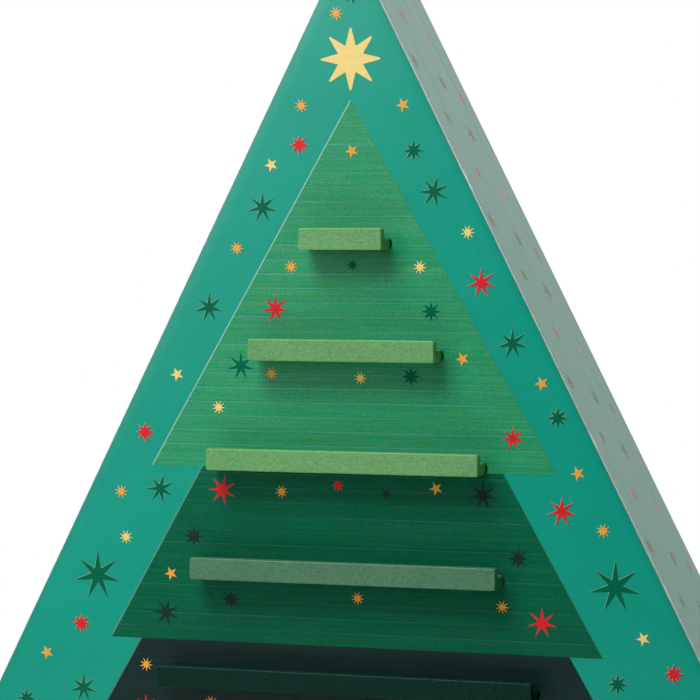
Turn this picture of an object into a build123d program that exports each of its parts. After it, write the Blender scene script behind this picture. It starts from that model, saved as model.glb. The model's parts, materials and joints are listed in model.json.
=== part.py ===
"""Triangular wooden advent calendar: a mitred box whose front carries push-in ledges."""

import os
from math import hypot, sqrt

from build123d import *

os.makedirs("parts", exist_ok=True)

# Box, an upright triangle seen from the front, made of mitred boards
box_width = 500.0
box_height = 500.0
box_depth = 80.0
board_thickness = 12.0
edge_ease = 0.6

# Ledges, from the top one down: a flat tongue board with a taller lip in front
ledge_lengths = (40.4, 90.8, 132.8, 149.4, 183.4, 228.0, 274.0)
lowest_ledge_height = 40.2
ledge_pitch = 52.0
trough_width = 9.0
tongue_thickness = 6.0
tongue_round = 1.5
lip_thickness = 5.0
lip_height = 10.3
lip_round = 0.8
lip_end_ease = 0.4

# Grooves that hold the tongues, cut with a round cutter and closed at the bottom
groove_depth = 9.0
groove_clearance = 0.25
groove_bottom_gap = 0.3

# Back panel, with the battens and the block that it is screwed to
back_thickness = 3.0
back_clearance = 0.5
batten_size = 12.0
apex_block_height = 45.0

# Countersunk screws, straight into the battens and the block
screw_diameter = 3.0
screw_head_diameter = 6.0
screw_length = 12.0
screw_clearance = 0.05
screw_end_gap = 0.5
screws_per_batten = 3
screw_end_margin = 40.0

# The triangle's slanted sides: run per rise, and sine of half the apex angle
side_run = box_width / 2 / box_height
apex_sine = box_width / 2 / hypot(box_width / 2, box_height)

front_plane = Plane.XZ.offset(box_depth / 2)
batten_back = Plane.XZ.offset(back_thickness - box_depth / 2)


def inset_top(inset):
    """Height of the triangle's tip, with all three sides moved in by the inset."""
    return box_height - inset / apex_sine


def half_width(height, inset=0.0):
    """Half the triangle's width at a height, with its sides moved in by the inset."""
    return (inset_top(inset) - height) * side_run


def inset_triangle(inset):
    """Lower left, lower right and top corners, with all three sides moved in."""
    foot = half_width(inset, inset)
    return (-foot, inset), (foot, inset), (0, inset_top(inset))


outer_left, outer_right, outer_top = inset_triangle(0)
inner_left, inner_right, inner_top = inset_triangle(board_thickness)

# Screw places on the battens' middle lines and in the apex block
batten_middle = board_thickness + batten_size / 2
batten_foot = board_thickness + batten_size
block_foot = inner_top[1] - apex_block_height


def spaced(first, last):
    """Evenly spaced places along one batten, both ends included."""
    step = (last - first) / (screws_per_batten - 1)
    return [first + step * i for i in range(screws_per_batten)]


def screw_location(x, z):
    """A place on the back panel's outer face, facing out."""
    return Location((x, box_depth / 2, z), (-90, 0, 0))


side_heights = spaced(batten_foot + screw_end_margin, block_foot - screw_end_margin)
base_reach = half_width(batten_middle, board_thickness) - screw_end_margin
left_screws = [screw_location(-half_width(z, batten_middle), z) for z in side_heights]
right_screws = [screw_location(half_width(z, batten_middle), z) for z in side_heights]
base_screws = [screw_location(x, batten_middle) for x in spaced(-base_reach, base_reach)]
block_screw = [screw_location(0, block_foot + batten_size)]
all_screws = left_screws + right_screws + base_screws + block_screw


def write(builder, name):
    """Label a finished piece and save it."""
    builder.part.label = name
    export_step(builder.part, f"parts/{name}.step")


# Outer form of the closed box, with every edge eased; it trims the boards below
with BuildPart() as outer_form:
    with BuildSketch(front_plane):
        Polygon(outer_left, outer_right, outer_top, align=None)
    extrude(amount=-box_depth)
    chamfer(outer_form.edges(), edge_ease)

# Front panel without its grooves: mitred on all three edges
with BuildPart() as front_blank:
    with BuildSketch(front_plane):
        Polygon(outer_left, outer_right, outer_top, align=None)
    with BuildSketch(front_plane.offset(-board_thickness)):
        Polygon(inner_left, inner_right, inner_top, align=None)
    loft()


# Each tongue reaches past the centre of its groove's round end until its eased
# corners are half a clearance away from the wall
groove_radius = tongue_thickness / 2 + groove_clearance
corner_reach = groove_radius - groove_clearance / 2 - tongue_round
corner_rise = tongue_thickness / 2 - tongue_round
tongue_overshoot = tongue_round + sqrt(corner_reach**2 - corner_rise**2)
groove_extra = 2 * (groove_radius - tongue_overshoot)


def ledge_foot(index):
    """Height of a ledge's underside, for ledges counted from the top one."""
    return lowest_ledge_height + ledge_pitch * (len(ledge_lengths) - 1 - index)


# Front panel: one groove with round ends for each ledge
with BuildPart() as front_panel:
    add(front_blank.part)
    add(outer_form.part, mode=Mode.INTERSECT)
    with BuildSketch(front_plane):
        for index, length in enumerate(ledge_lengths):
            with Locations((0, ledge_foot(index) + tongue_thickness / 2)):
                SlotOverall(length + groove_extra, 2 * groove_radius)
    extrude(amount=-groove_depth, mode=Mode.SUBTRACT)
write(front_panel, "front_panel")

# Side and base boards, mitred to each other and to the front panel
box_boards = {
    "left_side": (outer_left, outer_top, inner_top, inner_left),
    "right_side": (outer_right, inner_right, inner_top, outer_top),
    "base_panel": (outer_left, inner_left, inner_right, outer_right),
}
for name, corners in box_boards.items():
    with BuildPart() as box_board:
        with BuildSketch(front_plane):
            Polygon(*corners, align=None)
        extrude(amount=-box_depth)
        add(outer_form.part, mode=Mode.INTERSECT)
        add(front_blank.part, mode=Mode.SUBTRACT)
    write(box_board, name)

# Back panel, flush with the boards' back edges
with BuildPart() as back_panel:
    with BuildSketch(batten_back):
        Polygon(*inset_triangle(board_thickness + back_clearance), align=None)
    extrude(amount=-back_thickness)
    with Locations(*all_screws):
        CounterSinkHole(
            radius=screw_diameter / 2 + screw_clearance,
            counter_sink_radius=screw_head_diameter / 2 + screw_clearance,
            counter_sink_angle=90,
        )
write(back_panel, "back_panel")

# Battens glued inside the boards, and the block in the top corner
base_batten_corners = (
    inner_left,
    inner_right,
    (half_width(batten_foot, board_thickness), batten_foot),
    (-half_width(batten_foot, board_thickness), batten_foot),
)
right_batten_corners = (
    (half_width(batten_foot, batten_foot), batten_foot),
    (half_width(batten_foot, board_thickness), batten_foot),
    (half_width(block_foot, board_thickness), block_foot),
    (half_width(block_foot, batten_foot), block_foot),
)
left_batten_corners = [(-x, z) for x, z in reversed(right_batten_corners)]
apex_block_corners = (
    (-half_width(block_foot, board_thickness), block_foot),
    (half_width(block_foot, board_thickness), block_foot),
    inner_top,
)
backing_pieces = {
    "left_batten": (left_batten_corners, left_screws),
    "right_batten": (right_batten_corners, right_screws),
    "base_batten": (base_batten_corners, base_screws),
    "apex_block": (apex_block_corners, block_screw),
}
pilot_depth = screw_length + screw_end_gap
for name, (corners, screws) in backing_pieces.items():
    with BuildPart() as backing:
        with BuildSketch(batten_back):
            Polygon(*corners, align=None)
        extrude(amount=batten_size)
        with Locations(*screws):
            Hole(radius=screw_diameter / 2 + screw_clearance, depth=pilot_depth)
    write(backing, name)

# Screws with flat countersunk heads, flush with the back panel
screw_head_height = (screw_head_diameter - screw_diameter) / 2
with BuildPart() as back_screws:
    with Locations(*all_screws):
        Cylinder(
            radius=screw_diameter / 2,
            height=screw_length,
            align=(Align.CENTER, Align.CENTER, Align.MAX),
        )
        Cone(
            bottom_radius=screw_diameter / 2,
            top_radius=screw_head_diameter / 2,
            height=screw_head_height,
            align=(Align.CENTER, Align.CENTER, Align.MAX),
        )
write(back_screws, "back_screws")

# Ledges: the lip stands up in front of the trough, flush with the tongue's underside
tongue_back = groove_depth - groove_bottom_gap
lip_middle = -box_depth / 2 - trough_width - lip_thickness / 2
for index, length in enumerate(ledge_lengths):
    foot = ledge_foot(index)
    with BuildPart() as ledge_board:
        with BuildSketch(front_plane.offset(trough_width)):
            with Locations((0, foot + tongue_thickness / 2)):
                RectangleRounded(length, tongue_thickness, tongue_round)
        extrude(amount=-(trough_width + tongue_back))
    write(ledge_board, f"ledge_{index + 1}_board")

    with BuildPart() as ledge_lip:
        with BuildSketch(Plane.YZ):
            with Locations((lip_middle, foot + lip_height / 2)):
                RectangleRounded(lip_thickness, lip_height, lip_round)
        extrude(amount=length / 2, both=True)
        chamfer(ledge_lip.faces().filter_by(Axis.X).edges(), lip_end_ease)
    write(ledge_lip, f"ledge_{index + 1}_lip")
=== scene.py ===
"""Looks of the triangular wooden advent calendar: paint, print, light and the photograph's view."""

import json
import math
from collections import namedtuple

import bmesh
import bpy
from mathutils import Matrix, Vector


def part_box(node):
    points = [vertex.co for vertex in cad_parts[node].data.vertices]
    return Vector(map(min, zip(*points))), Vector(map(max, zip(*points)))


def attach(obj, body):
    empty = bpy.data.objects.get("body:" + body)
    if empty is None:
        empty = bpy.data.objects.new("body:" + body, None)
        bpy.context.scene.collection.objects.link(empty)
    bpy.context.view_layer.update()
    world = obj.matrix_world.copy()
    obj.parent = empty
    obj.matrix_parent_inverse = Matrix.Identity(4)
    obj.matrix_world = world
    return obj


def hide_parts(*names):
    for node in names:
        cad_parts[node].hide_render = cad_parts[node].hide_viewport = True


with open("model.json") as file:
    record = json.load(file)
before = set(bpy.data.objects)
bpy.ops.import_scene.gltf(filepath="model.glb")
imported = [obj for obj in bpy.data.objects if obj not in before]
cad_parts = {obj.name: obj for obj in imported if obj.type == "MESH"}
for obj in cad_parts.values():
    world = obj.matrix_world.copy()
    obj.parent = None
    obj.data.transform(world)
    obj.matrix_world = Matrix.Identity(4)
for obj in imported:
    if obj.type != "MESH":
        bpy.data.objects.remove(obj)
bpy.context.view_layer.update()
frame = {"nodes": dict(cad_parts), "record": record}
nodes = frame["nodes"]

MM = 0.001

# The box: an upright triangle, as wide as it is high
apex_height = 500 * MM
side_run = 0.5
front_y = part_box("front_panel")[0].y
back_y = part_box("back_panel")[1].y
ledge_count = sum(name.endswith("_lip") for name in nodes)

# The photograph's camera, found by fitting the box, the ledges and the print to it, in its pixels
photo_size = 700
photo_focal = 2793.9
photo_axis_rise = 60.0
camera_place = Vector((0.3943, -1.2909, 0.3588))
camera_yaw = math.radians(17.465)
camera_tilt = math.radians(1.106)
sensor_width = 36.0


def linear(red, green, blue):
    """A colour as it is read from a screen, 0 to 255, as the linear colour that a shader takes."""
    levels = [level / 255 for level in (red, green, blue)]
    curve = [v / 12.92 if v <= 0.04045 else ((v + 0.055) / 1.055) ** 2.4 for v in levels]
    return (*curve, 1.0)


# Camera and the way back from its pixels to the object
view_ahead = Vector(
    (
        -math.sin(camera_yaw) * math.cos(camera_tilt),
        math.cos(camera_yaw) * math.cos(camera_tilt),
        -math.sin(camera_tilt),
    )
)
view_right = Vector((math.cos(camera_yaw), math.sin(camera_yaw), 0))
view_up = view_right.cross(view_ahead)


def photo_ray(px, py):
    """Direction from the camera through one pixel of the photograph."""
    across = (px - photo_size / 2) / photo_focal
    above = (photo_size / 2 - photo_axis_rise - py) / photo_focal
    return view_ahead + view_right * across + view_up * above


def make_camera():
    """The photograph's camera, with no more shift than its framing needs."""
    camera = bpy.data.objects.new("camera", bpy.data.cameras.new("camera"))
    camera.data.sensor_width = sensor_width
    camera.data.lens = photo_focal * sensor_width / photo_size
    camera.data.shift_y = -photo_axis_rise / photo_size
    camera.location = camera_place
    camera.rotation_euler = (math.pi / 2 - camera_tilt, 0, camera_yaw)
    bpy.context.scene.collection.objects.link(camera)
    bpy.context.scene.camera = camera


class Nodes:
    """A node tree under construction, with short calls that add its nodes and join them."""

    def __init__(self, tree):
        self.tree = tree

    def add(self, kind, inputs=None, **options):
        """Add a node, set its options and fill its inputs with values or with other outputs."""
        node = self.tree.nodes.new(kind)
        for name, value in options.items():
            setattr(node, name, value)
        for key, value in (inputs or {}).items():
            self.fill(node.inputs[key], value)
        return node

    def fill(self, socket, value):
        """Join an output to a socket, or write a plain value into it."""
        if isinstance(value, bpy.types.NodeSocket):
            self.tree.links.new(value, socket)
        elif socket.type == "VECTOR":
            socket.default_value = value[:3]
        else:
            socket.default_value = value

    def calc(self, operation, *values):
        """One step of arithmetic."""
        return self.add("ShaderNodeMath", dict(enumerate(values)), operation=operation).outputs[0]

    def ramp(self, value, low, high, at_low=0.0, at_high=1.0, **options):
        """A value between two limits, turned into another range and held at its ends."""
        steps = dict(enumerate((value, low, high, at_low, at_high)))
        return self.add("ShaderNodeMapRange", steps, **options).outputs[0]

    def split(self, place):
        """The three axes of a place or a direction, as outputs."""
        return self.add("ShaderNodeSeparateXYZ", {0: place}).outputs


class Paint(Nodes):
    """A material under construction: its shader, the place on the object and the patterns."""

    def __init__(self, name, roughness=0.5, ior=1.5):
        self.material = bpy.data.materials.new(name)
        self.material.use_nodes = True
        super().__init__(self.material.node_tree)
        self.shader = self.tree.nodes["Principled BSDF"]
        self.shader.inputs["Roughness"].default_value = roughness
        self.shader.inputs["IOR"].default_value = ior
        self.place = self.add("ShaderNodeTexCoord").outputs["Object"]
        self.axes = self.split(self.place)

    def noise(self, scale, stretch=(1, 1, 1), detail=2.0, place=None):
        """Noise with so many features to the metre, drawn out along an axis by a stretch below 1."""
        place = self.place if place is None else place
        spread = self.add("ShaderNodeMapping", {"Vector": place, "Scale": stretch}).outputs[0]
        return self.add("ShaderNodeTexNoise", {"Vector": spread, "Scale": scale, "Detail": detail}).outputs[0]

    def mix(self, share, first, second):
        """Two colours mixed by a share."""
        colours = {0: share, 6: first, 7: second}
        return self.add("ShaderNodeMix", colours, data_type="RGBA").outputs[2]

    def shade(self, colour, amount):
        """A colour made lighter or darker by an amount that is 1 where it stays as it is."""
        return self.add("ShaderNodeVectorMath", {0: colour, "Scale": amount}, operation="SCALE").outputs[0]

    def normal(self):
        """The flat face's own direction, as three outputs."""
        return self.split(self.add("ShaderNodeNewGeometry").outputs["True Normal"])

    def bump(self, height, depth):
        """Make the surface rise and fall by a depth in metres."""
        relief = self.add("ShaderNodeBump", {"Height": height, "Distance": depth}).outputs[0]
        self.fill(self.shader.inputs["Normal"], relief)

    def finish(self, colour, roughness=None):
        """Take the colour, and the roughness where it varies."""
        self.fill(self.shader.inputs["Base Color"], colour)
        if roughness is not None:
            self.fill(self.shader.inputs["Roughness"], roughness)
        return self.material


# Colours as they look in even light, read off a screen
teal = linear(0, 151, 128)
teal_light = linear(4, 157, 134)
side_teal = linear(6, 159, 127)
side_teal_light = linear(16, 167, 136)
# Bare eased edges, paler than the bare wood: a painted highlight
raw_edge_highlight = linear(238, 236, 230)
raw_edge_highlight_dark = linear(210, 207, 198)
raw_chip = linear(246, 246, 242)
raw_wood = linear(206, 172, 132)
raw_wood_dark = linear(166, 124, 84)
# Inside the grooves: bare wood painted dark, a painted shade
groove_shade = linear(40, 28, 20)
hardboard = linear(146, 108, 72)
hardboard_dark = linear(112, 78, 48)
zinc = linear(206, 203, 194)
zinc_dark = linear(176, 172, 160)

# Inks of the tree's tiers, from the top one down: how strong the gloss is, the ground, two kinds of speck
# in it, the lines between the passes and the fringe along the left edge
TierInk = namedtuple("TierInk", "ior ground specks flecks lines fringe")
tier_inks = (
    TierInk(
        ior=1.45,
        ground=linear(0, 146, 94),
        specks=linear(69, 158, 126),
        flecks=linear(80, 150, 72),
        lines=linear(86, 160, 151),
        fringe=linear(160, 208, 202),
    ),
    TierInk(
        ior=1.2,
        ground=linear(0, 93, 61),
        specks=linear(8, 101, 89),
        flecks=linear(38, 101, 60),
        lines=linear(46, 107, 97),
        fringe=linear(116, 168, 158),
    ),
    TierInk(
        ior=1.45,
        ground=linear(0, 37, 34),
        specks=linear(20, 47, 46),
        flecks=linear(0, 35, 24),
        lines=linear(26, 53, 49),
        fringe=linear(98, 130, 124),
    ),
)
olive_fringe = linear(62, 128, 72)
star_fringe = linear(172, 186, 168)

# Parts of the noise's range that a ramp stretches, all round its middle
noise_middle = 0.5
wide_span = (0.25, 0.75)
usual_span = (0.3, 0.7)
narrow_span = (0.35, 0.65)

# Bare wood on the eased edges, painted near white as a highlight that the edge catches, widened by chips here
# and there
eased_normal = (0.5, 0.92)
arris_cover = 0.18 * MM
chip_scale = 30
chip_span = (0.58, 0.66)
chip_edge_scale = 350
chip_reach = 4 * MM
wear_scale = 260
wear_span = (0.45, 0.75)


def bare_highlit_arris(paint, colour):
    """A colour, with bare wood painted pale as a highlight on the narrow sloping faces between front or back
    and the sides.
    """
    facing = paint.calc("ABSOLUTE", paint.normal()["Y"])
    above = paint.calc("GREATER_THAN", facing, eased_normal[0])
    below = paint.calc("LESS_THAN", facing, eased_normal[1])
    open_part = paint.calc("GREATER_THAN", paint.axes["Y"], front_y + arris_cover)
    chips = paint.ramp(paint.noise(chip_scale), *chip_span)
    reach = paint.calc("MULTIPLY", paint.calc("MULTIPLY", chips, paint.noise(chip_edge_scale)), chip_reach)
    chipped = paint.calc("LESS_THAN", paint.calc("SUBTRACT", paint.axes["Y"], front_y), reach)
    sloping = paint.calc("MULTIPLY", below, open_part)
    bare = paint.calc("MULTIPLY", paint.calc("MAXIMUM", above, chipped), sloping)
    # The bare edge is near white, a painted highlight, with wear chips
    worn_and_highlit = paint.mix(paint.ramp(paint.noise(wear_scale), *wear_span), raw_edge_highlight, raw_edge_highlight_dark)
    worn_and_highlit = paint.mix(chips, worn_and_highlit, raw_chip)
    return paint.mix(bare, colour, worn_and_highlit)


def to_slope(paint):
    """How far a place lies inside the triangle's sloping sides, measured level."""
    half = paint.calc("MULTIPLY", paint.calc("SUBTRACT", apex_height, paint.axes["Z"]), side_run)
    return paint.calc("SUBTRACT", half, paint.calc("ABSOLUTE", paint.axes["X"]))


# Paint of the front: even teal, with a painted shade along the rim and bare wood inside the grooves painted
# dark as their shade. The roll of the rim and the height of the orange peel are in millimetres
paint_skin = 0.7 * MM
mottle_scale = 35
mottle_span = (0.2, 0.8)
grit_scale = 1400
grit_shades = (0.97, 1.03)
rim_width = 4.4 * MM
painted_rim_shade = 0.88
roll_width = 7 * MM
roll_power = 2
roll_drop = 0.18
peel_scale = 700
peel_height = 0.05
sheen_scale = 60
sheen_span = (0.15, 0.85)
front_roughness = (0.28, 0.32)


def front_paint():
    """Sprayed satin teal with a soft mottle and a fine orange peel."""
    paint = Paint("front_paint", roughness=0.3, ior=1.45)
    mottle = paint.ramp(paint.noise(mottle_scale, detail=4), *mottle_span)
    colour = paint.mix(mottle, teal, teal_light)
    colour = paint.shade(colour, paint.ramp(paint.noise(grit_scale), *wide_span, *grit_shades))
    to_edge = to_slope(paint)
    # Painted shade: the teal darker along the sloping edges
    colour = paint.shade(colour, paint.ramp(to_edge, 0, rim_width, painted_rim_shade, 1))
    colour = bare_highlit_arris(paint, colour)
    inside = paint.calc("GREATER_THAN", paint.axes["Y"], front_y + paint_skin)
    # Inside the grooves the colour is a painted shade
    colour = paint.mix(inside, colour, groove_shade)
    rolled = paint.calc("POWER", paint.ramp(to_edge, 0, roll_width, 1, 0), roll_power)
    peel = paint.calc("MULTIPLY", paint.noise(peel_scale, detail=3), peel_height)
    paint.bump(paint.calc("SUBTRACT", peel, paint.calc("MULTIPLY", rolled, roll_drop)), MM)
    roughness = paint.ramp(paint.noise(sheen_scale, detail=4), *sheen_span, *front_roughness)
    return paint.finish(colour, roughness)


# Paint of the sides: streaks along the boards that sway a little, and the wood's grain where it is bare
sway_scale = 24
streak_sway = 6 * MM
streak_scale = 165
streak_stretch = (1, 1, 0.06)
streak_shades = (0.87, 1.13)
streak_relief = 0.05 * MM
side_roughness = (0.17, 0.32)
grain_scale = 900
grain_stretch = (1, 1, 0.05)


def board_grain(paint):
    """Grain that runs along each board of the box: level on the base, up the slope on the sides."""
    from_slope = paint.calc("MULTIPLY", to_slope(paint), math.cos(math.atan(side_run)))
    across = paint.calc("MINIMUM", paint.axes["Z"], from_slope)
    on_base = paint.calc("LESS_THAN", paint.axes["Z"], from_slope)
    along = paint.ramp(on_base, 0, 1, paint.axes["Z"], paint.axes["X"])
    place = paint.add("ShaderNodeCombineXYZ", {"X": across, "Y": paint.axes["Y"], "Z": along}).outputs[0]
    return paint.ramp(paint.noise(grain_scale, grain_stretch, detail=4, place=place), *usual_span)


def side_paint():
    """Teal brushed along the boards, bare at the front arris with a painted highlight, and bare on the back
    edges.
    """
    paint = Paint("side_paint", roughness=0.36, ior=1.5)
    sway = paint.calc("MULTIPLY", paint.noise(sway_scale), streak_sway)
    swaying = paint.calc("ADD", paint.axes["Y"], sway)
    across = paint.add("ShaderNodeCombineXYZ", {"Y": swaying, "Z": paint.axes["Z"]}).outputs[0]
    streaks = paint.noise(streak_scale, streak_stretch, place=across)
    colour = paint.mix(paint.ramp(streaks, *usual_span), side_teal, side_teal_light)
    colour = paint.shade(colour, paint.ramp(streaks, *wide_span, *streak_shades))
    colour = bare_highlit_arris(paint, colour)
    bare = paint.mix(board_grain(paint), raw_wood, raw_wood_dark)
    behind = paint.calc("GREATER_THAN", paint.normal()["Y"], eased_normal[1])
    colour = paint.mix(behind, colour, bare)
    paint.bump(streaks, streak_relief)
    return paint.finish(colour, paint.ramp(streaks, *wide_span, *side_roughness))


# Ledge paints: the colour, how strong its gloss is, and how much lighter its rounded edges are painted, a
# painted highlight
ledge_paints = {
    "ledge_light_green": (linear(105, 162, 102), 1.33, 1.25),
    "ledge_mid_green": (linear(77, 124, 94), 1.33, 1.25),
    "ledge_dark_green": (linear(1, 42, 34), 1.24, 2.0),
}

# Fine grain in the ledges' paint, from dull to fresh, the painted light that makes the ends lighter and
# greener, the faces that count as ends or as rounded edges, the mottle and the peel
dull_tint = (0.81, 0.93, 0.81)
fresh_tint = (1.19, 1.07, 1.19)
end_light_tint = (1.2, 1.55, 1.2)
end_normal = 0.95
askew_normal = (0.99, 0.9)
ledge_grain_scale = 750
ledge_mottle_scale = 45
ledge_mottle_shades = (0.96, 1.04)
ledge_peel_scale = 900
fine_peel_scale = 2200
fine_peel_share = 0.4
ledge_peel_relief = 0.36 * MM
ledge_roughness = (0.26, 0.38)


def rounded_edge(paint):
    """Mask of the faces that lie askew, which are the rounded and eased edges of a squared piece."""
    sides = [paint.calc("ABSOLUTE", paint.normal()[axis]) for axis in "XYZ"]
    squarest = paint.calc("MAXIMUM", paint.calc("MAXIMUM", sides[0], sides[1]), sides[2])
    return paint.ramp(squarest, *askew_normal)


def tinted(colour, tint):
    """A colour with its red, green and blue made stronger or weaker."""
    return (*(level * share for level, share in zip(colour, tint)), 1.0)


def ledge_paint(slot):
    """Satin paint with an orange peel, painted lighter and greener on the ends, and with a painted highlight
    on rounded edges.
    """
    base, ior, edge_highlight = ledge_paints[slot]
    paint = Paint(slot, roughness=0.34, ior=ior)
    grain = paint.ramp(paint.noise(ledge_grain_scale), *usual_span)
    colour = paint.mix(grain, tinted(base, dull_tint), tinted(base, fresh_tint))
    # Painted light: the ends made lighter and greener
    on_end = paint.calc("GREATER_THAN", paint.calc("ABSOLUTE", paint.normal()["X"]), end_normal)
    colour = paint.mix(on_end, colour, tinted(base, end_light_tint))
    mottle = paint.noise(ledge_mottle_scale, detail=3)
    colour = paint.shade(colour, paint.ramp(mottle, *usual_span, *ledge_mottle_shades))
    # Painted highlight: the rounded and eased edges made lighter
    colour = paint.shade(colour, paint.ramp(rounded_edge(paint), 0, 1, 1, edge_highlight))
    peel = paint.noise(ledge_peel_scale)
    fine_peel = paint.calc("MULTIPLY", paint.noise(fine_peel_scale), fine_peel_share)
    paint.bump(paint.calc("ADD", peel, fine_peel), ledge_peel_relief)
    return paint.finish(colour, paint.ramp(peel, *usual_span, *ledge_roughness))


# Unpainted pieces at the back: hardboard, pine and zinc-plated screws
fibre_scale = 1100
fibre_stretch = (1, 1, 0.35)
fibre_relief = 0.06 * MM
blotch_scale = 28
blotch_shades = (0.9, 1.1)
hardboard_roughness = (0.5, 0.68)
pine_grain_scale = 600
pine_grain_stretch = (0.3, 1, 0.06)
pine_grain_relief = 0.05 * MM
turning_scale = 2500
zinc_roughness = (0.25, 0.42)


def back_board():
    """Hardboard: pressed brown fibres."""
    paint = Paint("back_board", roughness=0.6, ior=1.45)
    fibres = paint.ramp(paint.noise(fibre_scale, fibre_stretch, detail=6), *usual_span)
    colour = paint.mix(fibres, hardboard, hardboard_dark)
    blotch = paint.ramp(paint.noise(blotch_scale, detail=4), *usual_span, *blotch_shades)
    paint.bump(fibres, fibre_relief)
    return paint.finish(paint.shade(colour, blotch), paint.ramp(fibres, 0, 1, *hardboard_roughness))


def bare_wood():
    """Planed pine with its grain along the longest side."""
    paint = Paint("bare_wood", roughness=0.6, ior=1.45)
    grain = paint.ramp(paint.noise(pine_grain_scale, pine_grain_stretch, detail=4), *usual_span)
    paint.bump(grain, pine_grain_relief)
    return paint.finish(paint.mix(grain, raw_wood, raw_wood_dark))


def screw_steel():
    """Zinc plate, faintly yellow, with fine turning marks."""
    paint = Paint("screw_steel", roughness=0.3)
    paint.shader.inputs["Metallic"].default_value = 1.0
    marks = paint.ramp(paint.noise(turning_scale, detail=3), *usual_span)
    return paint.finish(paint.mix(marks, zinc, zinc_dark), paint.ramp(marks, 0, 1, *zinc_roughness))


# Printed ink: thin sheets laid on the paint in layers
tier_lift = 0.10 * MM
star_fringe_lift = 0.14 * MM
star_lift = 0.18 * MM
side_star_lift = 0.03 * MM
ink_root = 0.02 * MM
ink_ior = 1.33
dull_inks = {"green": 1.2}
side_ink_ior = 1.3
ink_roughness = 0.32
side_ink_roughness = 0.24
ink_relief = 0.01 * MM

# Lines between the passes of the print heads: a pale one, uneven and broken, with a dark one just above it
band_pitch = 6.78 * MM
band_shift = 1.45 * MM
band_width = 0.38 * MM
band_stretch = (0.03, 0, 1)
band_strengths = (0.35, 1)
break_scale = 260
break_stretch = (0.4, 1, 1)
break_strengths = (0.45, 1)
gap_rise = 0.7 * MM
gap_shade = 0.72

# Halftone of the tiers: two kinds of speck, denser in some level rows, and rows and passes of uneven strength
row_sway = 0.4
row_sway_stretch = (0.02, 0, 1)
dot_scale = 2600
dot_stretch = (0.7, 1, 1.25)
dot_row_scale = 900
dot_span = (0.55, 0.62)
fleck_scale = 2200
fleck_stretch = (0.6, 1, 1.3)
fleck_row_scale = 640
fleck_span = (0.59, 0.65)
row_scale = 1000
tier_row_stretch = (0.025, 1, 1)
tier_row_shades = (0.93, 1.07)
pass_stretch = (0.05, 0, 1)
pass_shades = (0.96, 1.04)

# Ink of the stars: level rows, and in the pale inks thin spots
star_row_stretch = (0.05, 1, 1)
star_row_shades = (0.97, 1.03)
star_relief_scale = 900
thin_inks = {"gold": 0.24, "yellow": 0.1}
thin_scale = 1000
thin_row_scale = 450
thin_span = (0.4, 0.6)
ink_under = linear(226, 228, 220)


def ink_bands(paint, shift):
    """Mask of the thin level lines that the print heads leave, some strong, some hardly there."""
    turns = paint.calc("DIVIDE", paint.calc("ADD", paint.axes["Z"], shift), band_pitch)
    from_line = paint.calc("ABSOLUTE", paint.calc("SUBTRACT", paint.calc("FRACT", turns), 0.5))
    line = paint.ramp(from_line, 0, band_width / band_pitch, 1, 0)
    uneven = paint.noise(1 / band_pitch, band_stretch, detail=0)
    strength = paint.ramp(uneven, *narrow_span, *band_strengths)
    broken = paint.ramp(paint.noise(break_scale, break_stretch), *narrow_span, *break_strengths)
    return paint.calc("MULTIPLY", line, paint.calc("MULTIPLY", strength, broken))


def in_rows(paint, value, scale):
    """A value that runs higher in some level rows and lower in others."""
    row = paint.calc("SUBTRACT", paint.noise(scale, row_sway_stretch), noise_middle)
    return paint.calc("ADD", value, paint.calc("MULTIPLY", row, row_sway))


def ink(name, colours):
    """Halftone ink: level rows, two kinds of fine speck, and dark and pale lines between the passes."""
    paint = Paint(name, ink_roughness, colours.ior)
    dots = in_rows(paint, paint.noise(dot_scale, dot_stretch), dot_row_scale)
    dots = paint.ramp(dots, *dot_span)
    flecks = in_rows(paint, paint.noise(fleck_scale, fleck_stretch), fleck_row_scale)
    flecks = paint.ramp(flecks, *fleck_span)
    shown = paint.mix(dots, colours.ground, colours.specks)
    shown = paint.mix(flecks, shown, colours.flecks)
    rows = paint.ramp(paint.noise(row_scale, tier_row_stretch, detail=3), *usual_span, *tier_row_shades)
    passes = paint.ramp(paint.noise(1 / band_pitch, pass_stretch, detail=1), *usual_span, *pass_shades)
    shown = paint.shade(shown, paint.calc("MULTIPLY", rows, passes))
    shown = paint.shade(shown, paint.ramp(ink_bands(paint, band_shift - gap_rise), 0, 1, 1, gap_shade))
    shown = paint.mix(ink_bands(paint, band_shift), shown, colours.lines)
    paint.bump(dots, ink_relief)
    return paint, shown


def plain_ink(name, colour, roughness=ink_roughness, ior=ink_ior, thinness=0.0):
    """Ink of the stars: nearly even, with thin spots in pale inks that let the white under it through."""
    paint = Paint(name, roughness, ior)
    if thinness:
        spots = in_rows(paint, paint.noise(thin_scale), thin_row_scale)
        colour = paint.mix(paint.ramp(spots, *thin_span, 0, thinness), colour, ink_under)
    rows = paint.ramp(paint.noise(row_scale, star_row_stretch, detail=3), *usual_span, *star_row_shades)
    paint.bump(paint.noise(star_relief_scale), ink_relief)
    return paint.finish(paint.shade(colour, rows))


# Faces that carry print: a corner, two directions along the face and its way out
Face = namedtuple("Face", "origin across up out")
side_slope = Vector((side_run, 0, 1)).normalized()
base_half = apex_height * side_run
front_face = Face(Vector((0, front_y, 0)), Vector((1, 0, 0)), Vector((0, 0, 1)), Vector((0, -1, 0)))
right_face = Face(
    Vector((base_half, 0, 0)),
    Vector((0, 1, 0)),
    Vector((-side_slope.x, 0, side_slope.z)),
    Vector((side_slope.z, 0, side_slope.x)),
)
left_face = Face(
    Vector((-base_half, 0, 0)),
    Vector((0, 1, 0)),
    side_slope,
    Vector((-side_slope.z, 0, side_slope.x)),
)


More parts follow.
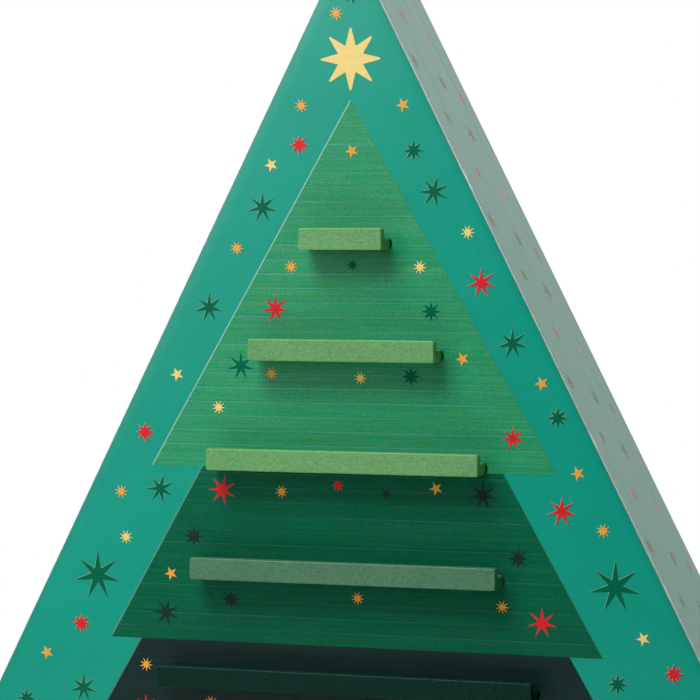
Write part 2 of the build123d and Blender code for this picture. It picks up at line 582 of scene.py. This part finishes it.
def on_face(face, px, py):
    """Where a pixel of the photograph lies on a face, as its two distances along that face."""
    ray = photo_ray(px, py)
    distance = (face.origin - camera_place).dot(face.out) / ray.dot(face.out)
    reach = camera_place + ray * distance - face.origin
    return reach.dot(face.across), reach.dot(face.up)


def add_object(name, shape, material):
    """Put a finished shape into the scene as one object with one material."""
    mesh = bpy.data.meshes.new(name)
    shape.to_mesh(mesh)
    shape.free()
    mesh.materials.append(material)
    holder = bpy.data.objects.new(name, mesh)
    bpy.context.scene.collection.objects.link(holder)
    return holder


def add_piece(name, shape, material, body):
    """Make a closed shape a piece of the calendar that rides on a body."""
    bmesh.ops.recalc_face_normals(shape, faces=shape.faces)
    piece = add_object(name, shape, material)
    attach(piece, body)
    return piece


def ink_sheet(name, face, outlines, lift, material):
    """One closed thin prism for each outline, all in one piece, rooted in the paint."""
    shape = bmesh.new()
    for outline in outlines:
        rings = []
        for level in (-ink_root, lift):
            points = [face.origin + face.across * x + face.up * y + face.out * level for x, y in outline]
            rings.append([shape.verts.new(point) for point in points])
            shape.faces.new(rings[-1])
        low, high = rings
        for i in range(len(outline)):
            shape.faces.new((low[i - 1], low[i], high[i], high[i - 1]))
    return add_piece(name, shape, material, "box")


# Grooves, as the front panel has them: a little longer and higher than each tongue
groove_clearance = 0.25 * MM
groove_end_gap = 1.125 * MM
ink_margin = 0.1 * MM
cutter_reach = 2 * MM
arc_steps = 16


def groove_outline(ledge):
    """A ledge's groove on the front, with round ends, and the ink's margin round it."""
    low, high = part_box(f"ledge_{ledge}_board")
    middle = (low.z + high.z) / 2
    radius = (high.z - low.z) / 2 + groove_clearance + ink_margin
    straight = high.x + groove_end_gap + ink_margin - radius
    points = []
    for end, start in ((straight, -math.pi / 2), (-straight, math.pi / 2)):
        for step in range(arc_steps + 1):
            angle = start + math.pi * step / arc_steps
            points.append((end + radius * math.cos(angle), middle + radius * math.sin(angle)))
    return points


def cut_grooves(sheet):
    """Take the grooves out of a sheet of ink."""
    outlines = [groove_outline(ledge + 1) for ledge in range(ledge_count)]
    cutter_face = front_face._replace(origin=front_face.origin - front_face.out * cutter_reach)
    material = sheet.data.materials[0]
    cutter = ink_sheet("groove_cutter", cutter_face, outlines, 2 * cutter_reach, material)
    bite = sheet.modifiers.new("grooves", "BOOLEAN")
    bite.operation = "DIFFERENCE"
    bite.solver = "EXACT"
    bite.object = cutter
    seen = sheet.evaluated_get(bpy.context.evaluated_depsgraph_get())
    sheet.data = bpy.data.meshes.new_from_object(seen)
    sheet.modifiers.clear()
    bpy.data.objects.remove(cutter)


# The printed fir tree: three tiers and a trunk, each tier's top and foot with their half widths
print_offset = 0.774 * MM
Tier = namedtuple("Tier", "top top_half foot foot_half")
tiers = (
    Tier(422.7 * MM, 0, 248.9 * MM, 99.85 * MM),
    Tier(248.9 * MM, 74.43 * MM, 165.36 * MM, 121.33 * MM),
    Tier(165.36 * MM, 105.62 * MM, 28 * MM, 184.9 * MM),
)
trunk_half = 17 * MM
trunk_foot = 0.8 * MM
left_fringe_width = 0.6 * MM
left_fringe_strength = 0.65
right_fringe_width = 0.4 * MM
right_fringe_strength = 0.45


def on_tree(x, z):
    """Whether a place on the front lies on one of the tiers."""
    for tier in tiers:
        if tier.foot <= z <= tier.top:
            share = (tier.top - z) / (tier.top - tier.foot)
            return abs(x - print_offset) < tier.top_half + share * (tier.foot_half - tier.top_half)
    return False


def tier_ink(number, tier):
    """A tier's ink, pale along its left edge and, on the upper tiers, olive along the right one."""
    colours = tier_inks[number - 1]
    paint, shown = ink(f"tier_{number}_ink", colours)
    run = (tier.foot_half - tier.top_half) / (tier.top - tier.foot)
    half = paint.ramp(paint.axes["Z"], tier.foot, tier.top, tier.foot_half, tier.top_half)
    from_middle = paint.calc("SUBTRACT", paint.axes["X"], print_offset)
    square = math.cos(math.atan(run))
    from_left = paint.calc("MULTIPLY", paint.calc("ADD", half, from_middle), square)
    from_right = paint.calc("MULTIPLY", paint.calc("SUBTRACT", half, from_middle), square)
    on_right = paint.calc("LESS_THAN", from_right, right_fringe_width)
    if number < len(tiers):
        shown = paint.mix(paint.calc("MULTIPLY", on_right, right_fringe_strength), shown, olive_fringe)
    on_left = paint.calc("LESS_THAN", from_left, left_fringe_width)
    shown = paint.mix(paint.calc("MULTIPLY", on_left, left_fringe_strength), shown, colours.fringe)
    return paint.finish(shown)


def print_tree():
    """The tree's tiers, cut out where the grooves are."""
    for index, tier in enumerate(tiers):
        outline = [
            (-tier.foot_half, tier.foot),
            (tier.foot_half, tier.foot),
            (tier.top_half, tier.top),
            (-tier.top_half, tier.top),
        ]
        if tier.top_half == 0:
            outline.pop()
        if index == len(tiers) - 1:
            outline[1:1] = [
                (-trunk_half, tier.foot),
                (-trunk_half, trunk_foot),
                (trunk_half, trunk_foot),
                (trunk_half, tier.foot),
            ]
        outline = [(x + print_offset, z) for x, z in outline]
        number = index + 1
        material = tier_ink(number, tier)
        sheet = ink_sheet(f"tree_tier_{number}", front_face, [outline], tier_lift, material)
        cut_grooves(sheet)


# Kinds of star: the number of rays, the valleys between them as a share of the radius, half the width of
# the rays' tips in millimetres, and half the angle of each valley's floor in degrees
StarKind = namedtuple("StarKind", "rays valley tip_half valley_turn")
star_kinds = {
    "five": StarKind(5, 0.38, 0, 0),
    "seven": StarKind(7, 0.29, 0, 0),
    "eight": StarKind(8, 0.42, 0, 0),
    "nine": StarKind(9, 0.47, 0.12, 8),
    "lead": StarKind(8, 0.45, 0.4, 0),
}
usual_turns = {"five": -25, "nine": 15}
star_colours = {
    "gold": linear(241, 211, 111),
    "orange": linear(236, 166, 62),
    "yellow": linear(247, 213, 118),
    "red": linear(220, 32, 44),
    "green": linear(0, 101, 72),
    "black": linear(20, 50, 47),
}

side_star_colours = {
    "orange": linear(240, 162, 66),
    "red": linear(220, 48, 32),
    "green": linear(102, 99, 40),
}

# Stars of the front that the photograph shows: kind, radius in millimetres, and their pixels there,
# with a third number where a star is turned, in degrees
front_stars = {
    "gold": [("lead", 14.5, [(350.7, 59.1)])],
    "orange": [
        ("nine", 3.15, [(336.1, 13.4), (301.4, 105.9), (237.1, 248.2), (121.4, 491.4, 6), (603.4, 531.1)]),
        ("nine", 3.0, [(271.4, 373.6), (281.6, 491.6), (357.7, 598.4), (502.3, 607.1)]),
        ("nine", 3.15, [(146.4, 664.3), (291, 266.8), (211, 702)]),
        ("five", 3.4, [(47.2, 652.2), (403.2, 105), (541.9, 383.7), (578.1, 473.8), (351.8, 150.9)]),
        ("five", 3.4, [(462.5, 359), (436, 488.6), (171.1, 573.3)]),
    ],
    "yellow": [
        ("five", 3.4, [(271.3, 165.1), (177.2, 374.4), (643.3, 639.1)]),
        ("nine", 3.15, [(126.2, 537), (467.9, 232.4), (420, 267.2), (218.7, 407.2)]),
        ("nine", 3.0, [(360.4, 378.1)]),
    ],
    "red": [
        ("eight", 4.8, [(299.3, 145), (145.1, 431.9), (81.4, 623.1), (674, 674.3)]),
        ("eight", 3.1, [(338.2, 485.5)]),
        ("seven", 7.2, [(481.4, 283), (275.6, 308.5), (222.3, 489.7, 13), (561.9, 511.6), (542.1, 623.2)]),
        ("seven", 6.0, [(513, 438.4), (146, 706)]),
    ],
    "green": [
        ("seven", 7.2, [(262.3, 207.3), (209.2, 307.4), (434, 191.7, 13), (512.5, 343.4)]),
        ("seven", 7.2, [(241.1, 366), (160.3, 488.5, 13), (83.7, 687.4)]),
        ("seven", 12.1, [(98, 574.8), (615.4, 587.2)]),
        ("eight", 4.8, [(413.4, 150.5), (557.5, 418), (617.6, 684.4), (431.2, 311.7), (411, 376.6)]),
        ("eight", 4.8, [(353.1, -5.8), (26.7, 698)]),
        ("eight", 3.1, [(352.6, 265.1)]),
    ],
    "black": [
        ("seven", 7.2, [(483.1, 495.4), (166.6, 612, 13)]),
        ("eight", 5.0, [(194, 536.1), (518.3, 558.6), (231.3, 599.2)]),
        ("eight", 3.1, [(386.4, 494)]),
    ],
}

# Stars below the photograph's lower edge, carried on in the same way, in millimetres on the front
lower_stars = {
    "orange": [
        ("nine", 3.15, [(-163, 118), (96, 128), (-58, 76), (200, 64), (150, 18), (-96, 16)]),
        ("five", 3.4, [(172, 112), (-128, 66), (22, 70), (-222, 24)]),
    ],
    "yellow": [("nine", 3.15, [(-30, 124), (122, 78), (-190, 44)]), ("five", 3.4, [(208, 24), (-148, 12)])],
    "red": [
        ("seven", 7.2, [(-168, 98), (60, 74), (-194, 62)]),
        ("eight", 4.8, [(-78, 120), (222, 10), (-30, 66), (64, 12)]),
    ],
    "green": [
        ("seven", 7.2, [(-182, 82), (180, 88), (-186, 15), (-48, 16)]),
        ("eight", 4.8, [(-210, 42), (212, 44), (110, 12), (26, 120), (-104, 76), (96, 66)]),
    ],
}

# Stars of the sides, in a pattern that repeats up the slope: each star's place across the board's depth
# and up from the pattern's foot, in millimetres
side_pattern_pitch = 83.8
side_pattern = {
    "red": [("eight", 3.6, [(-11.8, 15.7), (26.5, 57.2)])],
    "orange": [("nine", 3.15, [(18.4, 4.7), (38.1, 26.7), (-39, 25)])],
    "green": [
        ("eight", 4.6, [(-30.5, 74.2), (3, 64.4)]),
        ("eight", 3.5, [(-19.5, 45.4)]),
        ("five", 5.6, [(10.2, 36.7, -90)]),
    ],
}


def star_outline(kind, middle, radius, turn=None):
    """A star with one ray up, or turned clockwise by so many degrees."""
    rays, valley, tip_half, valley_turn = star_kinds[kind]
    turn = usual_turns.get(kind, 0) if turn is None else turn
    valley_half = radius * valley * math.radians(valley_turn)
    points = []
    for i in range(2 * rays):
        angle = math.pi * i / rays + math.radians(turn)
        out = Vector((math.sin(angle), math.cos(angle)))
        reach, half = (radius * valley, valley_half) if i % 2 else (radius, tip_half * MM)
        for aside in (-half, half) if half else (0,):
            points.append(tuple(Vector(middle) + out * reach + Vector((out.y, -out.x)) * aside))
    return points


def photo_outlines(rows):
    """Outlines of the front's stars that are placed by the photograph's pixels."""
    for kind, radius, places in rows:
        for px, py, *turn in places:
            yield star_outline(kind, on_face(front_face, px, py), radius * MM, *turn)


def placed_outlines(rows, foot=0.0):
    """Outlines of the stars that are placed in millimetres, from a foot so far up the face."""
    for kind, radius, places in rows:
        for x, y, *turn in places:
            yield star_outline(kind, (x * MM, (foot + y) * MM), radius * MM, *turn)


# The fringe under the stars on the teal, and how near the sides' stars come to the boards' edges and ends
star_fringe_shift = Vector((-0.06 * MM, 0.06 * MM))
star_fringe_growth = 0.14 * MM
side_margin = 39.3 * MM
side_end_margin = 3 * MM


def grown(outline):
    """A star's outline for the fringe under it: a little larger all round and a little out of register."""
    middle = sum((Vector(point) for point in outline), Vector((0, 0))) / len(outline)
    arms = [Vector(point) - middle for point in outline]
    return [middle + arm + arm.normalized() * star_fringe_growth + star_fringe_shift for arm in arms]


def within_side(outline):
    """A star of the sides, cut off straight where it would reach past the board's edge."""
    for way in (1, -1):
        kept = []
        for here, there in zip(outline, outline[1:] + outline[:1]):
            past_here, past_there = (way * point[0] - side_margin for point in (here, there))
            if past_here <= 0:
                kept.append(here)
            if past_here * past_there < 0:
                share = past_here / (past_here - past_there)
                kept.append((way * side_margin, here[1] + share * (there[1] - here[1])))
        outline = kept
    return outline


def side_outlines(rows):
    """Outlines of a side's stars, from its foot up to where the board ends."""
    slope_length = apex_height * math.hypot(side_run, 1)
    for repeat in range(math.ceil(slope_length / MM / side_pattern_pitch)):
        for outline in placed_outlines(rows, repeat * side_pattern_pitch):
            if max(rise for _, rise in outline) < slope_length - side_end_margin:
                yield within_side(outline)


def print_stars():
    """All stars, one piece for each colour and face, and the pale fringe under those on the teal."""
    fringe = []
    for colour_name, colour in star_colours.items():
        gloss = dull_inks.get(colour_name, ink_ior)
        thinness = thin_inks.get(colour_name, 0.0)
        material = plain_ink(f"{colour_name}_ink", colour, ior=gloss, thinness=thinness)
        outlines = list(photo_outlines(front_stars[colour_name]))
        outlines += placed_outlines(lower_stars.get(colour_name, []))
        ink_sheet(f"front_stars_{colour_name}", front_face, outlines, star_lift, material)
        fringe += [grown(outline) for outline in outlines if not any(on_tree(*point) for point in outline)]
        if colour_name not in side_pattern:
            continue
        side_colour = side_star_colours[colour_name]
        material = plain_ink(f"side_{colour_name}_ink", side_colour, side_ink_roughness, side_ink_ior)
        outlines = list(side_outlines(side_pattern[colour_name]))
        for side, face in (("right", right_face), ("left", left_face)):
            ink_sheet(f"{side}_stars_{colour_name}", face, outlines, side_star_lift, material)
    material = plain_ink("fringe_ink", star_fringe)
    ink_sheet("front_stars_fringe", front_face, fringe, star_fringe_lift, material)


# Countersunk screws with a cross recess, in the places of the CAD ones. Points of the CAD rims that lie
# nearer to each other than same_head are one screw's
screw_head_radius = 3 * MM
screw_shank_radius = 1.5 * MM
screw_length = 12 * MM
screw_point_length = 2.5 * MM
screw_point_radius = 0.2 * screw_shank_radius
rim_tolerance = 0.01 * MM
same_head = 2.5 * screw_head_radius
cross_half_width = 0.45 * MM
cross_reach = 1.7 * MM
cross_depth = 1.1 * MM
cross_taper = 0.55
screw_sides = 32


def screw_places():
    """Middles of the CAD screws' heads on the back, each found from its rim."""
    middles = []
    for vertex in nodes["back_screws"].data.vertices:
        if vertex.co.y < back_y - rim_tolerance:
            continue
        if not any((vertex.co - rim[0]).length < same_head for rim in middles):
            middles.append([vertex.co.copy()])
        near = min(middles, key=lambda rim: (vertex.co - rim[0]).length)
        near.append(vertex.co.copy())
    return [
        Vector(
            (
                (min(p.x for p in rim) + max(p.x for p in rim)) / 2,
                back_y,
                (min(p.z for p in rim) + max(p.z for p in rim)) / 2,
            )
        )
        for rim in middles
    ]


def cross_outline(scale):
    """Corners of the recess, anticlockwise."""
    arm, half = cross_reach * scale, cross_half_width * scale
    quarter = [(half, half), (half, arm), (-half, arm)]
    points = []
    for _ in range(4):
        points += quarter
        quarter = [(-y, x) for x, y in quarter]
    return points


def add_screw(shape, middle):
    """One screw: recessed flat head, cone, shank and point."""

    def ring(points, depth):
        return [shape.verts.new(middle + Vector((x, -depth, y))) for x, y in points]

    def wall(first, second):
        for i in range(len(first)):
            shape.faces.new((first[i - 1], first[i], second[i], second[i - 1]))

    def circle(radius):
        angles = [2 * math.pi * i / screw_sides for i in range(screw_sides)]
        return [(radius * math.cos(a), radius * math.sin(a)) for a in angles]

    head_height = screw_head_radius - screw_shank_radius
    rim = ring(circle(screw_head_radius), 0)
    mouth = ring(cross_outline(1), 0)
    floor = ring(cross_outline(cross_taper), cross_depth)
    neck = ring(circle(screw_shank_radius), head_height)
    tail = ring(circle(screw_shank_radius), screw_length - screw_point_length)
    point = ring(circle(screw_point_radius), screw_length)
    wall(rim, neck)
    wall(neck, tail)
    wall(tail, point)
    wall(mouth, floor)
    shape.faces.new(point)
    shape.faces.new(floor)
    bmesh.ops.triangle_fill(shape, use_beauty=True, edges=loop_edges(rim) + loop_edges(mouth))


def loop_edges(loop):
    """Edges between neighbouring points of a closed loop."""
    edges = []
    for i in range(len(loop)):
        edges.append(next(e for e in loop[i].link_edges if loop[i - 1] in e.verts))
    return edges


def make_screws(material):
    """The ten screws, in place of the plain CAD ones."""
    shape = bmesh.new()
    for middle in screw_places():
        add_screw(shape, middle)
    piece = add_piece("back_screw_set", shape, material, "box")
    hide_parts("back_screws")


# Lips with softer corners than the plain CAD ones, in their places
lip_corner_round = 1.15 * MM
lip_edge_round = 0.65 * MM
lip_round_steps = 4
lip_round_profile = 0.5


def make_lip(node, body, material):
    """A ledge's lip: a bar with its corners rounded, as seen from the front, and all its edges eased."""
    low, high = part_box(node)
    shape = bmesh.new()
    bmesh.ops.create_cube(shape, size=1)
    for vertex in shape.verts:
        vertex.co = [(low[i] + high[i]) / 2 + vertex.co[i] * (high[i] - low[i]) for i in range(3)]
    corners = [edge for edge in shape.edges if edge.verts[0].co.y != edge.verts[1].co.y]
    rounding = {"segments": lip_round_steps, "profile": lip_round_profile, "affect": "EDGES"}
    bmesh.ops.bevel(shape, geom=corners, offset=lip_corner_round, **rounding)
    rims = [edge for edge in shape.edges if abs(edge.verts[0].co.y - edge.verts[1].co.y) < lip_edge_round]
    bmesh.ops.bevel(shape, geom=rims, offset=lip_edge_round, **rounding)
    piece = add_piece(f"{node}_soft", shape, material, body)
    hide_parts(node)


def dress_nodes():
    """Give every CAD node the material of its slot in the record, and put softer lips on the ledges."""
    materials = {
        "front_paint": front_paint(),
        "side_paint": side_paint(),
        "back_board": back_board(),
        "bare_wood": bare_wood(),
        "screw_steel": screw_steel(),
    }
    for slot in ledge_paints:
        materials[slot] = ledge_paint(slot)
    for row in frame["record"]["subparts"]:
        node, slot = row["node"], row["material_slot"]
        mesh = nodes[node].data
        mesh.materials.clear()
        mesh.materials.append(materials[slot])
        if node.endswith("_lip"):
            make_lip(node, node.removesuffix("_lip"), materials[slot])
    make_screws(materials["screw_steel"])


# Studio: pale paper on the floor, a white backdrop and a dim room in front
floor_radius = 1.1
floor_sides = 96
floor_drop = 0.05 * MM
floor_fade = (0.35, 0.75)
floor_colour = linear(226, 226, 224)
paper_scale = 300
paper_shades = (0.985, 1.015)
room_dim = 0.005
backdrop_light = 0.9
backdrop_turn = (0.0, 0.45)
backdrop_rise = (-0.05, 0.3)
backdrop_foot = 0.62


def make_floor():
    """A pale round floor that fades into the white behind it."""
    shape = bmesh.new()
    bmesh.ops.create_circle(shape, cap_ends=True, segments=floor_sides, radius=floor_radius)
    paper = Paint("floor", roughness=0.9)
    away = paper.add("ShaderNodeVectorMath", {0: paper.place}, operation="LENGTH").outputs["Value"]
    fade = paper.ramp(away, *floor_fade)
    fibres = paper.ramp(paper.noise(paper_scale), *usual_span, *paper_shades)
    paper.finish(paper.shade(floor_colour, fibres))
    clear = paper.add("ShaderNodeBsdfTransparent").outputs[0]
    both = paper.add("ShaderNodeMixShader", {0: fade, 1: paper.shader.outputs[0], 2: clear}).outputs[0]
    paper.fill(paper.tree.nodes["Material Output"].inputs["Surface"], both)
    floor = add_object("floor", shape, paper.material)
    floor.location.z = -floor_drop


def make_world():
    """White for the camera and in gloss that faces the backdrop, dim where the room is in front."""
    world = bpy.data.worlds.new("studio")
    bpy.context.scene.world = world
    world.use_nodes = True
    sky = Nodes(world.node_tree)
    axes = sky.split(sky.add("ShaderNodeTexCoord").outputs["Generated"])
    behind = sky.ramp(axes["Y"], *backdrop_turn, room_dim, 1.0, interpolation_type="SMOOTHSTEP")
    height = sky.ramp(axes["Z"], *backdrop_rise, backdrop_foot, 1.0)
    rays = sky.add("ShaderNodeLightPath").outputs
    in_gloss = sky.ramp(rays["Is Glossy Ray"], 0, 1, backdrop_light, 1)
    lit = sky.calc("MULTIPLY", sky.calc("MULTIPLY", behind, height), in_gloss)
    seen = sky.calc("MAXIMUM", rays["Is Camera Ray"], rays["Is Transmission Ray"])
    background = sky.tree.nodes["Background"]
    background.inputs["Color"].default_value = (1, 1, 1, 1)
    sky.fill(background.inputs["Strength"], sky.calc("MAXIMUM", seen, lit))


# Lamps: a large one high on the left, a fill further left, the light that the floor throws back, which isn't
# mirrored, and a small one for the glare near the tip, which shows in gloss alone
Lamp = namedtuple("Lamp", "name place aim width height power in_gloss in_diffuse", defaults=(True, True))
lamps = (
    Lamp("key", Vector((-0.26, -0.72, 1.22)), Vector((0, -0.04, 0.36)), 0.62, 0.62, 13.9),
    Lamp("fill", Vector((-1.08, -1.70, 0.76)), Vector((0, -0.04, 0.30)), 0.45, 0.95, 7.4),
    Lamp(
        "floor_fill",
        Vector((-0.16, -0.38, 0.004)),
        Vector((-0.16, -0.38, 1)),
        width=0.44,
        height=0.26,
        power=0.6,
        in_gloss=False,
    ),
    Lamp(
        "tip_glare",
        Vector((-0.27, -0.74, 0.63)),
        Vector((-0.03, -0.04, 0.534)),
        width=0.14,
        height=0.10,
        power=0.38,
        in_diffuse=False,
    ),
)


def make_lamps():
    """Soft area lamps turned towards what they light."""
    for lamp in lamps:
        light = bpy.data.lights.new(lamp.name, "AREA")
        light.shape = "RECTANGLE"
        light.size = lamp.width
        light.size_y = lamp.height
        light.energy = lamp.power
        holder = bpy.data.objects.new(lamp.name, light)
        holder.location = lamp.place
        holder.rotation_euler = (lamp.aim - lamp.place).to_track_quat("-Z", "Y").to_euler()
        holder.visible_camera = False
        holder.visible_glossy = lamp.in_gloss
        holder.visible_diffuse = lamp.in_diffuse
        bpy.context.scene.collection.objects.link(holder)


make_camera()
dress_nodes()
print_tree()
print_stars()
make_floor()
make_world()
make_lamps()
bpy.context.scene.view_settings.view_transform = "Standard"
